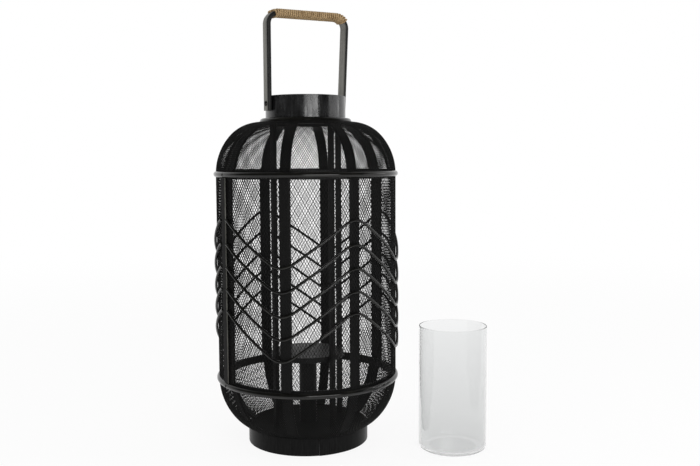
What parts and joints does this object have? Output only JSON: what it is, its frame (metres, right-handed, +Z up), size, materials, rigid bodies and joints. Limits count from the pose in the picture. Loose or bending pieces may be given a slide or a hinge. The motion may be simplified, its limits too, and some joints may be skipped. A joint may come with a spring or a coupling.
{
  "type": "candle lantern",
  "caption": "Tall round candle lantern: black bamboo ribs under net with wavy rods, an open collar, a swinging twine-wrapped handle and a loose glass for the candle.",
  "frame": {"origin": "middle of the lantern's foot, on the floor", "axes": "+Z up along the lantern's axis, +X along the handle's pivot pegs towards the leaning leg"},
  "size_m": [0.3633, 0.3655, 0.683],
  "materials": {
    "black_wood": "satin black stain",
    "black_bamboo": "satin black stain",
    "black_net": "matt black mesh",
    "dark_handle": "worn grey-black stain",
    "jute_twine": "raw twine",
    "dark_nail": "blackened",
    "clear_glass": "clear"
  },
  "bodies": {
    "lantern": {"foot_ring": "black_wood", "base_board": "black_wood", "candle_column": "black_wood", "candle_platform": "black_wood", "top_ring": "black_wood", "collar": "black_wood", "rib_1": "black_bamboo", "rib_2": "black_bamboo", "rib_3": "black_bamboo", "rib_4": "black_bamboo", "rib_5": "black_bamboo", "rib_6": "black_bamboo", "rib_7": "black_bamboo", "rib_8": "black_bamboo", "post_1": "black_bamboo", "post_2": "black_bamboo", "post_3": "black_bamboo", "post_4": "black_bamboo", "wave_rod_1": "black_bamboo", "wave_rod_2": "black_bamboo", "wave_rod_3": "black_bamboo", "wave_rod_4": "black_bamboo", "wave_rod_5": "black_bamboo", "collar_hoop": "black_bamboo", "upper_hoop": "black_bamboo", "lower_hoop": "black_bamboo", "upper_inner_band": "black_bamboo", "lower_inner_band": "black_bamboo", "seam_slat": "black_bamboo", "dome_net": "black_net", "body_net": "black_net", "base_net": "black_net", "hoop_nails": "dark_nail", "pivot_pegs": "black_bamboo"},
    "handle": {"handle_strip": "dark_handle", "handle_wrap": "jute_twine"},
    "glass": {"glass_cylinder": "clear_glass"}
  },
  "joints": [
    {"name": "handle_swing", "type": "hinge", "parent": "lantern", "child": "handle", "pos_m": [0, 0, 0.5367], "axis": [1, 0, 0], "range_deg": [-106, 106]},
    {"name": "glass_lift", "type": "slide", "parent": "lantern", "child": "glass", "axis": [0, 0, 1], "range_m": [0, 0.56]}
  ]
}
